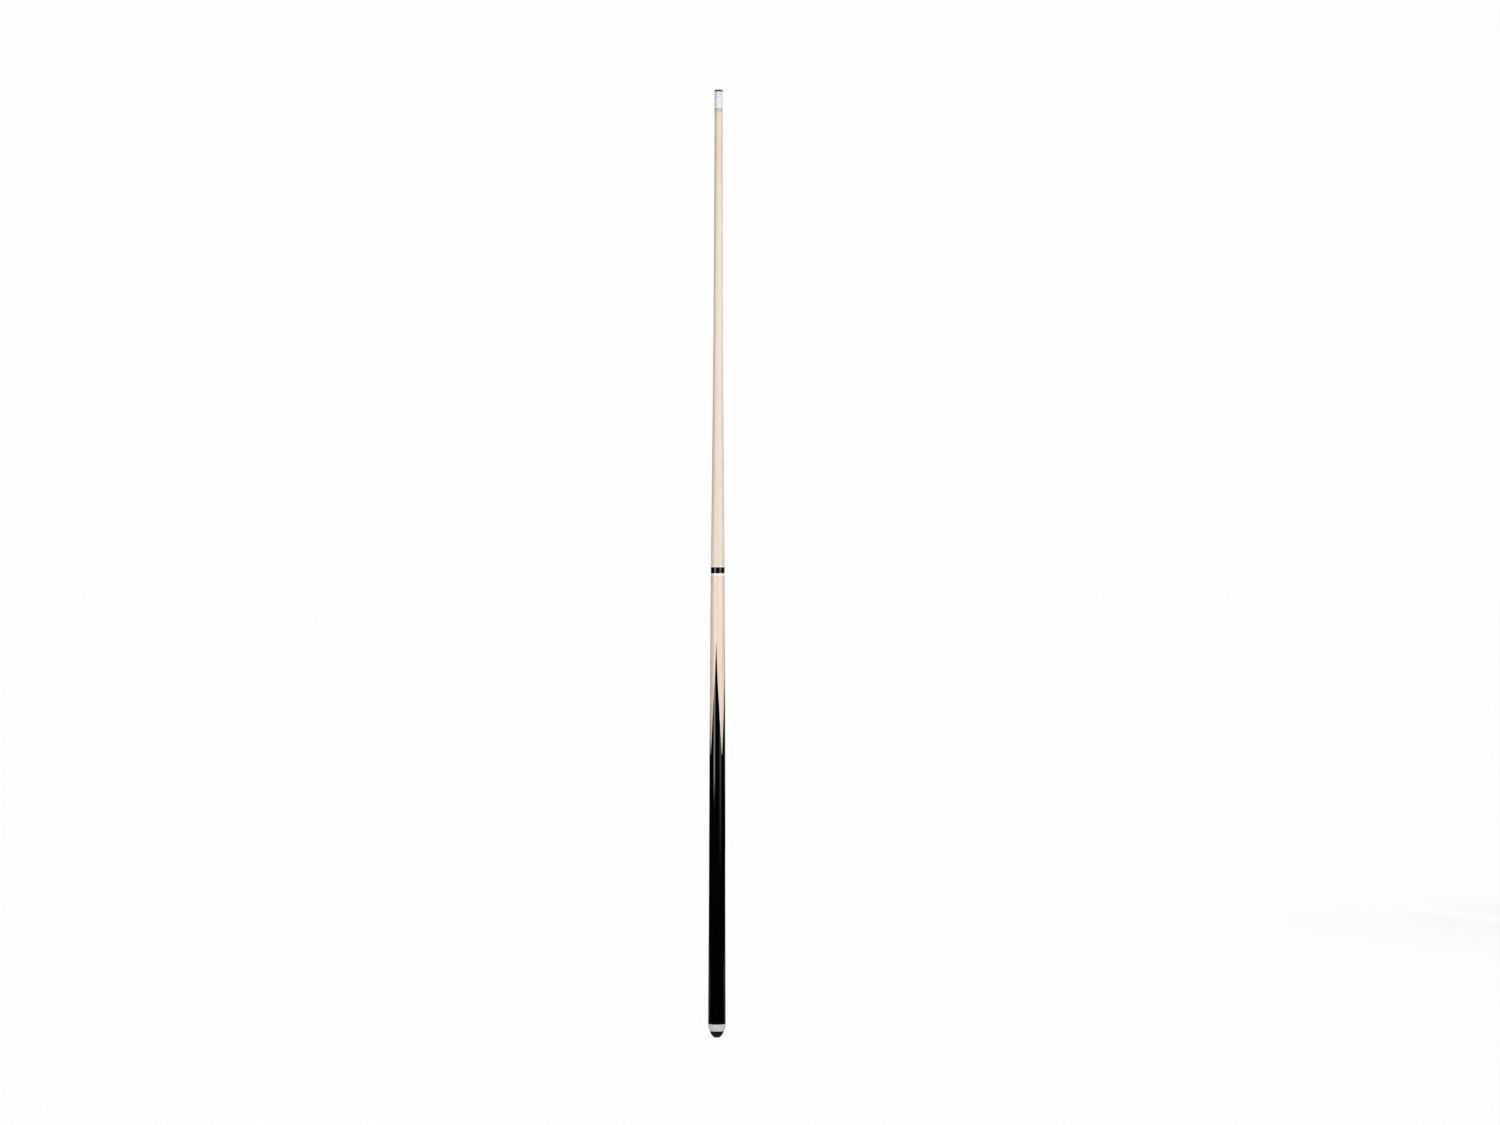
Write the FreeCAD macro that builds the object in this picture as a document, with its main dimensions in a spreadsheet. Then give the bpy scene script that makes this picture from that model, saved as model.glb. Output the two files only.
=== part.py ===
import FreeCAD, Part
import math
import os
import Sketcher

# A two-piece pool cue standing on its rubber bumper, in millimetres. Z runs from butt to tip and
# the origin is the middle of the bumper's foot. Every turned piece is a revolved outline.

SIZES = {
    "overall_length": 1448.0,       # 57 inches
    "joint_height": 713.0,          # where the two halves meet
    # tip end
    "ferrule_length": 25.4,
    "ferrule_radius": 6.05,
    "ferrule_bore_depth": 21.9,
    "ferrule_line_depth": 0.1,      # two fine lines turned round the ferrule
    "ferrule_line_spacing": 4.1,
    "ferrule_line_drop": 4.8,       # from the ferrule's top to the upper line
    "tip_height": 3.4,
    "tip_side": 2.8,
    "tip_belly_radius": 5.0,        # the leather swells a little below its dome
    "tenon_radius": 4.0,
    "tenon_gap": 0.5,               # glue space past the end of a tenon
    # shaft taper: heights above the joint, then radii
    "shaft_station_low": 127.0,
    "shaft_station_mid": 249.0,
    "shaft_station_high": 410.0,
    "shaft_station_top": 587.0,
    "shaft_radius_joint": 10.4,
    "shaft_radius_low": 9.28,
    "shaft_radius_mid": 8.08,
    "shaft_radius_high": 6.95,
    "shaft_radius_top": 6.32,
    # joint
    "collar_radius": 10.45,
    "collar_bore": 8.0,
    "collar_clearance": 0.05,
    "shaft_collar_length": 5.2,
    "shaft_ring_length": 1.7,
    "butt_collar_length": 4.2,
    "butt_ring_length": 3.6,
    "collar_edge": 0.25,
    "pin_radius": 3.97,             # 5/16-18 thread
    "pin_root_radius": 3.12,
    "pin_shank_radius": 3.9,
    "pin_depth": 38.0,
    "pin_reach": 22.0,
    "pin_neck": 1.2,
    "pin_nose": 2.0,
    "thread_pitch": 1.411111,
    "thread_crest": 0.1764,         # an eighth of the pitch
    "thread_clearance": 0.09,       # along the axis, on each flank
    "thread_overcut": 0.1,          # how far a groove's outline runs past the surface it cuts
    "thread_start": 0.6,            # the pin's groove starts inside its neck
    "insert_radius": 5.5,
    "insert_length": 19.5,
    "insert_recess": 0.6,
    "insert_bore": 3.27,
    "insert_thread_radius": 4.06,
    "insert_groove": 0.4,           # glue grooves round the outside of the insert
    "pin_well_radius": 4.4,
    "pin_well_depth": 25.0,
    # butt taper: heights, then radii
    "butt_station_low": 54.0,
    "butt_station_grip": 237.0,
    "butt_station_splice": 430.0,
    "butt_station_upper": 604.0,
    "butt_radius_cap": 13.55,
    "butt_radius_low": 13.5,
    "butt_radius_grip": 12.7,
    "butt_radius_splice": 12.12,
    "butt_radius_upper": 11.22,
    "butt_radius_joint": 10.5,
    # four-point splice: each dark prong is a deep V wedge and a longer one that draws out its point
    "splice_valley_height": 430.0,  # where the pale prongs run out and both wedges start
    "splice_prong_flat": 2.0,       # how much of each pale prong's sharp end is cut off
    "splice_turn": -10.0,           # turn of the front point about Z
    "splice_reach": 20.0,           # how far out from the axis the V cutter goes
    "splice_overrun": 1.05,         # the cutter runs on past the surface
    "deep_wedge_start": -10.68,     # a V's bottom edge from the axis, past it at the valleys
    "deep_wedge_end": 11.34,        # and out at the surface, at the height that follows
    "deep_wedge_height": 580.4,
    "long_wedge_start": -3.63,
    "long_wedge_end": 11.21,
    "long_wedge_height": 606.0,
    # butt cap, weight and bumper
    "cap_bottom": 10.0,
    "cap_top": 21.0,
    "cap_radius_top": 13.4,
    "cap_radius_side": 13.05,
    "cap_radius_bottom": 10.9,
    "cap_side_height": 6.2,
    "cap_round": 20.0,
    "cap_lip": 2.0,
    "cap_tenon_radius": 9.0,
    "bolt_bore_radius": 6.45,
    "bolt_bore_top": 172.0,
    "bolt_radius": 6.35,
    "bolt_length": 127.0,           # half an inch by five
    "bolt_bottom": 36.0,
    "bolt_chamfer": 1.0,
    "bolt_socket": 6.0,             # across flats
    "bolt_socket_depth": 7.0,
    "bumper_radius": 10.5,
    "bumper_shoulder": 0.7,
    "bumper_foot_radius": 4.4,
    "bumper_dome_radius": 15.0,
    "stem_radius": 5.2,
    "stem_rib_radius": 6.38,
    "stem_rib_height": 1.6,
    "stem_rib_pitch": 4.0,
    "stem_length": 13.0,
}

DOME = "dome"                                     # marks an arc whose middle is on the axis
THREAD_SLOPE = 2 * math.tan(math.radians(30))     # how fast a thread's groove widens with radius
SPLICE_SLOPE = math.tan(math.radians(24))         # half the width of a splice's V for its depth

doc = FreeCAD.newDocument("pool_cue")
sheet = doc.addObject("Spreadsheet::Sheet", "dims")
for row, (name, number) in enumerate(SIZES.items(), 1):
    sheet.set(f"A{row}", name)
    sheet.set(f"B{row}", str(number))
    sheet.setAlias(f"B{row}", name)
doc.recompute()


class Size:
    """A length together with the sheet formula that gives it."""

    def __init__(self, number, formula):
        self.number = number
        self.formula = formula

    def __add__(self, other):
        other = as_size(other)
        return Size(self.number + other.number, f"{self.formula} + {other.formula}")

    def __sub__(self, other):
        other = as_size(other)
        return Size(self.number - other.number, f"{self.formula} - ({other.formula})")

    def __mul__(self, factor):
        return Size(self.number * factor, f"({self.formula}) * {factor}")


def as_size(value):
    return value if isinstance(value, Size) else Size(float(value), str(float(value)))


def dim(name):
    return Size(SIZES[name], f"dims.{name}")


def origin_feature(body, role):
    for feature in body.Origin.OriginFeatures:
        if feature.Role == role:
            return feature
    raise ValueError(role)


def arc_between(start, end, radius):
    """The arc of the given radius from start to end that bulges to the right of the way it goes."""
    middle = (start + end) * 0.5
    chord = end - start
    sagitta = radius - math.sqrt(radius ** 2 - (chord.Length / 2) ** 2)
    outwards = FreeCAD.Vector(chord.y, -chord.x, 0).normalize()
    return Part.Arc(start, middle + outwards * sagitta, end)


def place_vertex(sketch, edge, vertex, point):
    """Ties one vertex of the outline to its radius and height, on an axis where they are zero."""
    for kind, axis, size in (("DistanceX", -2, point[0]), ("DistanceY", -1, point[1])):
        if abs(size.number) < 1e-9:
            sketch.addConstraint(Sketcher.Constraint("PointOnObject", edge, vertex, axis))
        else:
            tie = sketch.addConstraint(Sketcher.Constraint(kind, -1, 1, edge, vertex, size.number))
            sketch.setExpression(f"Constraints[{tie}]", size.formula)


def outline_sketch(body, name, outline):
    """The outline drawn in the body's XZ plane."""
    sketch = body.newObject("Sketcher::SketchObject", name)
    sketch.AttachmentSupport = [(origin_feature(body, "XZ_Plane"), "")]
    sketch.MapMode = "FlatFace"
    draw_outline(sketch, outline)
    return sketch


def dome_radius(start, end):
    """The radius of an arc from start up to end on the axis, with its middle on the axis."""
    height = end.y - start.y
    return (start.x ** 2 + height ** 2) / (2 * height)


def draw_outline(sketch, outline):
    """Draws a closed outline. A point's third value is the radius of the arc after it, or DOME."""
    points = [(as_size(item[0]), as_size(item[1])) for item in outline]
    places = [FreeCAD.Vector(across.number, up.number, 0) for across, up in points]
    for index, item in enumerate(outline):
        start = places[index]
        end = places[(index + 1) % len(places)]
        if len(item) == 2:
            sketch.addGeometry(Part.LineSegment(start, end))
        elif item[2] == DOME:
            sketch.addGeometry(arc_between(start, end, dome_radius(start, end)))
        else:
            sketch.addGeometry(arc_between(start, end, item[2].number))
    for index in range(len(outline)):
        following = (index + 1) % len(outline)
        # An arc is stored anticlockwise, so its first vertex can be either end.
        ends = [vertex_at(sketch, edge, places[following]) for edge in (index, following)]
        sketch.addConstraint(Sketcher.Constraint("Coincident", index, ends[0], following, ends[1]))
    for index, item in enumerate(outline):
        place_vertex(sketch, index, vertex_at(sketch, index, places[index]), points[index])
        if len(item) == 3 and item[2] == DOME:
            sketch.addConstraint(Sketcher.Constraint("PointOnObject", index, 3, -2))
        elif len(item) == 3:
            tie = sketch.addConstraint(Sketcher.Constraint("Radius", index, item[2].number))
            sketch.setExpression(f"Constraints[{tie}]", item[2].formula)


def vertex_at(sketch, edge, place):
    """1 or 2: the end of a sketch edge that lies at a place."""
    return 1 if sketch.getPoint(edge, 1).distanceToPoint(place) < 1e-6 else 2


def turned(name, outline):
    """A body revolved about Z from its half outline."""
    body = doc.addObject("PartDesign::Body", name)
    body.Label = name
    profile = outline_sketch(body, name + "_outline", outline)
    lathe = body.newObject("PartDesign::Revolution", name + "_turning")
    lathe.Profile = profile
    lathe.ReferenceAxis = (profile, ["V_Axis"])
    lathe.Angle = 360
    profile.Visibility = False
    doc.recompute()
    return body


def ring(name, bottom, top, bore, radius, edge):
    """A collar with small chamfers on its two outer corners."""
    return turned(name, [
        (bore, bottom),
        (radius - edge, bottom),
        (radius, bottom + edge),
        (radius, top - edge),
        (radius - edge, top),
        (bore, top),
    ])


def helical_groove(body, name, outline, height):
    """Cuts a right-hand thread groove of the given half outline up the body, and makes it the tip."""
    profile = outline_sketch(body, name + "_profile", outline)
    groove = body.newObject("PartDesign::SubtractiveHelix", name)
    groove.Profile = profile
    groove.ReferenceAxis = (profile, ["V_Axis"])
    groove.Mode = "pitch-height-angle"
    groove.setExpression("Pitch", dim("thread_pitch").formula)
    groove.setExpression("Height", height.formula)
    profile.Visibility = False
    doc.recompute()


def cut(name, base, tool):
    """The base with the tool taken away."""
    result = doc.addObject("Part::Cut", name)
    result.Label = name
    result.Base = base
    result.Tool = tool
    return result


def cylinder(name, radius, bottom, top):
    """A plain cylinder on the Z axis."""
    result = doc.addObject("Part::Cylinder", name)
    result.setExpression("Radius", radius.formula)
    result.setExpression("Height", (top - bottom).formula)
    result.setExpression("Placement.Base.z", bottom.formula)
    return result


joint = dim("joint_height")
ferrule_top = dim("overall_length") - dim("tip_height")
ferrule_bottom = ferrule_top - dim("ferrule_length")
shaft_shoulder = joint + dim("shaft_collar_length") + dim("shaft_ring_length")
forearm_top = joint - dim("butt_collar_length") - dim("butt_ring_length")
insert_bottom = joint + dim("insert_recess")
insert_top = insert_bottom + dim("insert_length")


def make_tip():
    side_top = ferrule_top + dim("tip_side")
    turned("tip", [
        (0, ferrule_top),
        (dim("ferrule_radius"), ferrule_top, dim("tip_belly_radius")),
        (dim("ferrule_radius"), side_top, DOME),
        (0, dim("overall_length")),
    ])


def make_ferrule():
    radius = dim("ferrule_radius")
    outline = [(dim("tenon_radius"), ferrule_bottom), (radius, ferrule_bottom)]
    upper_line = ferrule_top - dim("ferrule_line_drop")
    for line in (upper_line - dim("ferrule_line_spacing"), upper_line):
        outline += [
            (radius, line - dim("ferrule_line_depth")),
            (radius - dim("ferrule_line_depth"), line),
            (radius, line + dim("ferrule_line_depth")),
        ]
    bore_top = ferrule_bottom + dim("ferrule_bore_depth")
    outline += [(radius, ferrule_top), (0, ferrule_top), (0, bore_top), (dim("tenon_radius"), bore_top)]
    turned("ferrule", outline)


def make_shaft():
    """The maple shaft: a tenon for the ferrule, a slow taper, and a bored tenon for the collars."""
    tenon_top = ferrule_bottom + dim("ferrule_bore_depth") - dim("tenon_gap")
    well_top = joint + dim("pin_well_depth")
    outline = [
        (dim("insert_radius"), joint),
        (dim("collar_bore"), joint),
        (dim("collar_bore"), shaft_shoulder),
        (dim("shaft_radius_joint"), shaft_shoulder),
    ]
    for station in ("low", "mid", "high", "top"):
        outline.append((dim("shaft_radius_" + station), joint + dim("shaft_station_" + station)))
    outline += [
        (dim("ferrule_radius"), ferrule_bottom),
        (dim("tenon_radius"), ferrule_bottom),
        (dim("tenon_radius"), tenon_top),
        (0, tenon_top),
        (0, well_top),
        (dim("pin_well_radius"), well_top),
        (dim("pin_well_radius"), insert_top),
        (dim("insert_radius"), insert_top),
    ]
    turned("shaft", outline)


def make_collars():
    radius = dim("collar_radius")
    edge = dim("collar_edge")
    bore = dim("collar_bore")
    loose_bore = bore + dim("collar_clearance")
    shaft_collar_top = joint + dim("shaft_collar_length")
    butt_collar_bottom = joint - dim("butt_collar_length")
    ring("shaft_collar", joint, shaft_collar_top, bore, radius, edge)
    ring("shaft_trim_ring", shaft_collar_top, shaft_shoulder, loose_bore, radius, edge)
    ring("butt_collar", butt_collar_bottom, joint, bore, radius, edge)
    ring("butt_trim_ring", forearm_top, butt_collar_bottom, bore, radius, edge)


def make_pin():
    """The steel joint pin: a plain shank in the forearm, a neck, and a rolled thread above the joint."""
    root = dim("pin_root_radius")
    shank = dim("pin_shank_radius")
    crest = dim("pin_radius")
    bottom = joint - dim("pin_depth")
    top = joint + dim("pin_reach")
    chamfer = shank - root
    body = turned("joint_pin", [
        (0, bottom),
        (root, bottom),
        (shank, bottom + chamfer),
        (shank, joint - dim("collar_edge")),
        (root, joint - dim("collar_edge") + chamfer),
        (root, joint + dim("pin_neck")),
        (crest, joint + dim("pin_neck") + chamfer),
        (crest, top - dim("pin_nose")),
        (root - dim("collar_edge"), top),
        (0, top),
    ])
    # At the pin's surface the groove is the pitch less the crest wide. Its flanks stand at 30 degrees.
    outside = crest + dim("thread_overcut")
    wide = (dim("thread_pitch") - dim("thread_crest") + dim("thread_overcut") * THREAD_SLOPE) * 0.5
    narrow = (dim("thread_pitch") - dim("thread_crest") - (crest - root) * THREAD_SLOPE) * 0.5
    start = joint + dim("thread_start")
    helical_groove(body, "pin_thread", [
        (root, start - narrow),
        (outside, start - wide),
        (outside, start + wide),
        (root, start + narrow),
    ], dim("pin_reach"))


def make_insert():
    """The brass insert: its thread is the pin's, opened by a clearance on each flank."""
    crest = dim("pin_radius")
    bore = dim("insert_bore")
    radius = dim("insert_radius")
    mouth = dim("insert_thread_radius")
    outline = [
        (mouth, insert_bottom),
        (radius, insert_bottom),
    ]
    for third in (1, 2, 3):
        middle = insert_bottom + dim("insert_length") * (third / 4)
        outline += [
            (radius, middle - dim("insert_groove")),
            (radius - dim("insert_groove"), middle),
            (radius, middle + dim("insert_groove")),
        ]
    outline += [
        (radius, insert_top),
        (bore, insert_top),
        (bore, insert_bottom + (mouth - bore)),
    ]
    body = turned("joint_insert", outline)
    inside = bore - dim("thread_overcut")
    wide = (dim("thread_crest") + (crest - inside) * THREAD_SLOPE) * 0.5 + dim("thread_clearance")
    narrow = (dim("thread_crest") - (mouth - crest) * THREAD_SLOPE) * 0.5 + dim("thread_clearance")
    start = joint + dim("thread_start") - dim("thread_pitch") * 0.5
    helical_groove(body, "insert_thread", [
        (inside, start - wide),
        (mouth, start - narrow),
        (mouth, start + narrow),
        (inside, start + wide),
    ], dim("pin_reach"))


def make_butt_blank():
    """The outline that the handle and forearm are turned to together once they are spliced."""
    outline = [(0, dim("cap_top")), (dim("butt_radius_cap"), dim("cap_top"))]
    for station in ("low", "grip", "splice", "upper"):
        outline.append((dim("butt_radius_" + station), dim("butt_station_" + station)))
    outline += [(dim("butt_radius_joint"), forearm_top), (0, forearm_top)]
    return turned("butt_blank", outline)


def make_wedge_outline(kind):
    """The V of one kind of wedge, lying in the plane where the pale prongs run out."""
    start = dim(kind + "_wedge_start")
    reach = dim("splice_reach")
    half_width = (reach - start) * SPLICE_SLOPE
    vee = doc.addObject("Sketcher::SketchObject", kind + "_wedge_vee")
    draw_outline(vee, [(start, 0), (reach, as_size(0) - half_width), (reach, half_width)])
    vee.setExpression("Placement.Base.z", dim("splice_valley_height").formula)
    return vee


def make_wedge(kind, vee, quarter):
    """One V wedge, swept up and outwards from its outline until it has left the wood."""
    rise = (dim(kind + "_wedge_height") - dim("splice_valley_height")).formula
    run = (dim(kind + "_wedge_end") - dim(kind + "_wedge_start")).formula
    wedge = doc.addObject("Part::Extrusion", f"{kind}_wedge_{quarter}")
    wedge.Base = vee
    wedge.DirMode = "Custom"
    wedge.setExpression("Dir.x", run)
    wedge.setExpression("Dir.y", "0")
    wedge.setExpression("Dir.z", rise)
    wedge.setExpression("LengthFwd", f"sqrt(({run})^2 + ({rise})^2) * dims.splice_overrun")
    wedge.Solid = True
    wedge.setExpression("Placement.Rotation.Angle", f"dims.splice_turn - 90 + {90 * quarter}")
    return wedge


def make_splice_fork():
    """The space of the dark wood: a solid base and four prongs at quarter turns."""
    base_top = dim("splice_valley_height") + dim("splice_prong_flat")
    pieces = [cylinder("splice_base", dim("splice_reach"), as_size(0), base_top)]
    for kind in ("deep", "long"):
        vee = make_wedge_outline(kind)
        pieces += [make_wedge(kind, vee, quarter) for quarter in range(4)]
    fork = doc.addObject("Part::MultiFuse", "splice_fork")
    fork.Shapes = pieces
    return fork


def finish_half(name, wood, turned_end, bore):
    """One half of the spliced butt: its wood and its turned end, less its bore."""
    whole = doc.addObject("Part::MultiFuse", name + "_whole")
    whole.Shapes = [wood, turned_end]
    cut(name, whole, bore)


def make_handle_and_forearm():
    """Handle and forearm share the splice's planes, so the two woods meet face to face."""
    blank = make_butt_blank()
    fork = make_splice_fork()
    dark = doc.addObject("Part::Common", "handle_blank")
    dark.Base = blank
    dark.Tool = fork
    cap_tenon_bottom = dim("cap_bottom") + dim("cap_lip")
    cap_tenon = cylinder("cap_tenon", dim("cap_tenon_radius"), cap_tenon_bottom, dim("cap_top"))
    bolt_bore = cylinder("bolt_bore", dim("bolt_bore_radius"), dim("cap_bottom"), dim("bolt_bore_top"))
    finish_half("handle", dark, cap_tenon, bolt_bore)
    pale = cut("forearm_blank", blank, fork)
    collar_tenon = cylinder("collar_tenon", dim("collar_bore"), forearm_top, joint)
    pin_bore = cylinder("pin_bore", dim("pin_shank_radius"), joint - dim("pin_depth"), joint)
    finish_half("forearm", pale, collar_tenon, pin_bore)


def make_butt_cap():
    bore = dim("bolt_bore_radius")
    tenon = dim("cap_tenon_radius")
    bottom = dim("cap_bottom")
    top = dim("cap_top")
    turned("butt_cap", [
        (bore, bottom),
        (dim("cap_radius_bottom"), bottom, dim("cap_round")),
        (dim("cap_radius_side"), bottom + dim("cap_side_height")),
        (dim("cap_radius_top"), top),
        (tenon, top),
        (tenon, bottom + dim("cap_lip")),
        (bore, bottom + dim("cap_lip")),
    ])


def make_weight_bolt():
    """A steel slug screwed up into the handle, with a hexagon socket in its lower end."""
    radius = dim("bolt_radius")
    chamfer = dim("bolt_chamfer")
    bottom = dim("bolt_bottom")
    top = bottom + dim("bolt_length")
    slug = turned("bolt_slug", [
        (0, bottom),
        (radius - chamfer, bottom),
        (radius, bottom + chamfer),
        (radius, top - chamfer),
        (radius - chamfer, top),
        (0, top),
    ])
    socket = doc.addObject("Part::Prism", "bolt_hexagon")
    socket.Polygon = 6
    socket.setExpression("Circumradius", "dims.bolt_socket / 2 / cos(30 deg)")
    socket.setExpression("Height", dim("bolt_socket_depth").formula)
    socket.setExpression("Placement.Base.z", bottom.formula)
    cut("weight_bolt", slug, socket)


def make_bumper():
    """The rubber bumper: a domed foot and a stem with three ribs that grip the handle's bore."""
    radius = dim("bumper_radius")
    stem = dim("stem_radius")
    seat = dim("cap_bottom")
    outline = [
        (0, 0),
        (dim("bumper_foot_radius"), 0, dim("bumper_dome_radius")),
        (radius, seat - dim("bumper_shoulder")),
        (radius, seat),
        (stem, seat),
    ]
    for rib in range(3):
        rib_bottom = seat + dim("stem_rib_pitch") * rib + dim("stem_rib_height")
        outline += [
            (stem, rib_bottom),
            (dim("stem_rib_radius"), rib_bottom),
            (stem, rib_bottom + dim("stem_rib_height")),
        ]
    stem_top = seat + dim("stem_length")
    outline += [(stem, stem_top), (0, stem_top)]
    turned("bumper", outline)


NODES = [
    "tip", "ferrule", "shaft", "shaft_trim_ring", "shaft_collar", "joint_insert", "joint_pin",
    "butt_collar", "butt_trim_ring", "forearm", "handle", "butt_cap", "weight_bolt", "bumper",
]

make_tip()
make_ferrule()
make_shaft()
make_collars()
make_pin()
make_insert()
make_handle_and_forearm()
make_butt_cap()
make_weight_bolt()
make_bumper()
doc.recompute()

for item in doc.Objects:
    if "Invalid" in item.State or "Error" in item.State:
        raise RuntimeError(f"{item.Name} failed: {item.State}")

os.makedirs("parts", exist_ok=True)
for node in NODES:
    shape = doc.getObject(node).Shape
    if shape.isNull() or not shape.isValid() or len(shape.Solids) != 1:
        raise RuntimeError(f"{node} is not one valid solid")
    shape.exportStep(f"parts/{node}.step")
    box = shape.BoundBox
    reach = f"z {box.ZMin:8.2f} to {box.ZMax:8.2f}  r {box.XMax:6.2f}"
    print(f"{node:16s} {reach}  volume {shape.Volume / 1000:8.3f} cm3")
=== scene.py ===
import math

import bmesh
import bpy
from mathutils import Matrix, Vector


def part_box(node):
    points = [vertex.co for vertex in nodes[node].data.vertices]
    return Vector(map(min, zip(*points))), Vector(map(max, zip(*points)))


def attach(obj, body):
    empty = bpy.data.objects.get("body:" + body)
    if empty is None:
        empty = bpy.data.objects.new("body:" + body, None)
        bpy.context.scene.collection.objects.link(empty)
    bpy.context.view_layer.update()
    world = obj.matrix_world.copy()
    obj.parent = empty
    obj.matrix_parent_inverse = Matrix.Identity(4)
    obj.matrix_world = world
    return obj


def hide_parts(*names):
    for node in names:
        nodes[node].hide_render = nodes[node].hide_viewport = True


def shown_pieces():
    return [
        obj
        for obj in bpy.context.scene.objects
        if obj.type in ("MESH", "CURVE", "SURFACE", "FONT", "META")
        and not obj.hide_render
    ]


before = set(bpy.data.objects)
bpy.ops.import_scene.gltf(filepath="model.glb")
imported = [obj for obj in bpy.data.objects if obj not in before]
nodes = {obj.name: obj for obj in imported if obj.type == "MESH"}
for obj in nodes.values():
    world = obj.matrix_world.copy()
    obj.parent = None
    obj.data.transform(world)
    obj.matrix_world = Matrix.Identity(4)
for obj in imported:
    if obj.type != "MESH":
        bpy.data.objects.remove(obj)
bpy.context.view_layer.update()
scene = bpy.context.scene
print("frame loaded:", len(nodes), "nodes")


class Wire:
    # a socket that takes part in sums: each operator adds a Math node
    def __init__(self, tree, socket):
        self.tree = tree
        self.socket = socket

    def join(self, operation, first, second):
        node = self.tree.nodes.new("ShaderNodeMath")
        node.operation = operation
        for index, value in enumerate((first, second)):
            if isinstance(value, Wire):
                self.tree.links.new(value.socket, node.inputs[index])
            else:
                node.inputs[index].default_value = value
        return Wire(self.tree, node.outputs[0])

    def __add__(self, other):
        return self.join("ADD", self, other)

    def __radd__(self, other):
        return self.join("ADD", other, self)

    def __sub__(self, other):
        return self.join("SUBTRACT", self, other)

    def __rsub__(self, other):
        return self.join("SUBTRACT", other, self)

    def __mul__(self, other):
        return self.join("MULTIPLY", self, other)

    def __rmul__(self, other):
        return self.join("MULTIPLY", other, self)

    def __truediv__(self, other):
        return self.join("DIVIDE", self, other)

    def __pow__(self, other):
        return self.join("POWER", self, other)


class Finish:
    # one material: a Principled shader and the nodes that feed it
    def __init__(self, name, shader):
        self.material = bpy.data.materials.new(name)
        self.material.use_nodes = True
        self.tree = self.material.node_tree
        self.tree.nodes.clear()
        self.shader = self.tree.nodes.new("ShaderNodeBsdfPrincipled")
        output = self.tree.nodes.new("ShaderNodeOutputMaterial")
        self.tree.links.new(self.shader.outputs[0], output.inputs[0])
        for socket, value in shader.items():
            self.shader.inputs[socket].default_value = value
        self.place = self.add("TexCoord", output="Object")
        split = self.tree.nodes.new("ShaderNodeSeparateXYZ")
        self.tree.links.new(self.place.socket, split.inputs[0])
        self.x, self.y, self.z = (Wire(self.tree, socket) for socket in split.outputs)

    def add(self, kind, settings=None, sockets=None, output=0):
        node = self.tree.nodes.new("ShaderNode" + kind)
        for setting, value in (settings or {}).items():
            setattr(node, setting, value)
        for socket, value in (sockets or {}).items():
            if isinstance(value, Wire):
                self.tree.links.new(value.socket, node.inputs[socket])
            else:
                node.inputs[socket].default_value = value
        return Wire(self.tree, node.outputs[output])

    def feed(self, **wires):
        names = {
            "colour": "Base Color", "roughness": "Roughness", "normal": "Normal",
            "glow": "Emission Color",
        }
        for key, wire in wires.items():
            self.tree.links.new(wire.socket, self.shader.inputs[names[key]])

    # coordinates with their own scale each way, for grain, dashes and turning marks
    def stretched(self, scale, turn=(0, 0, 0), shift=(0, 0, 0)):
        sockets = {"Vector": self.place, "Scale": scale, "Rotation": turn, "Location": shift}
        return self.add("Mapping", sockets=sockets)

    def pattern(self, scale, shift=(0, 0, 0), turn=(0, 0, 0), detail=3.0, rough=0.5):
        where = self.stretched(scale, turn, shift)
        sockets = {"Vector": where, "Scale": 1.0, "Detail": detail, "Roughness": rough}
        return self.add("TexNoise", sockets=sockets)

    def size(self, value):
        return self.add("Math", {"operation": "ABSOLUTE"}, {0: value})

    # 0 to 1 as value goes from low to high, eased
    def step(self, value, low, high):
        sockets = {"Value": value, "From Min": low, "From Max": high}
        return self.add("MapRange", {"interpolation_type": "SMOOTHSTEP"}, sockets)

    def mix(self, factor, first, second, how="MIX"):
        node = self.tree.nodes.new("ShaderNodeMix")
        node.data_type = "RGBA"
        node.blend_type = how
        for index, value in ((0, factor), (6, first), (7, second)):
            if isinstance(value, Wire):
                self.tree.links.new(value.socket, node.inputs[index])
            elif index == 0:
                node.inputs[index].default_value = value
            else:
                node.inputs[index].default_value = (*value, 1.0)
        return Wire(self.tree, node.outputs[2])

    # 1 inside a stretched round spot that fades at its rim
    def spot(self, middle, size):
        scale = [1 / length for length in size]
        shift = [-along * factor for along, factor in zip(middle, scale)]
        offset = self.stretched(scale, shift=shift)
        reach = self.add("VectorMath", {"operation": "LENGTH"}, {0: offset}, output="Value")
        return 1.0 - self.step(reach, 0.35, 1.0)

    def bump(self, height, distance, strength):
        return self.add("Bump", sockets={"Height": height, "Distance": distance, "Strength": strength})


def radiusOf(node):
    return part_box(node)[1].x


def heightsOf(node):
    low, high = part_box(node)
    return low.z, high.z


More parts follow.
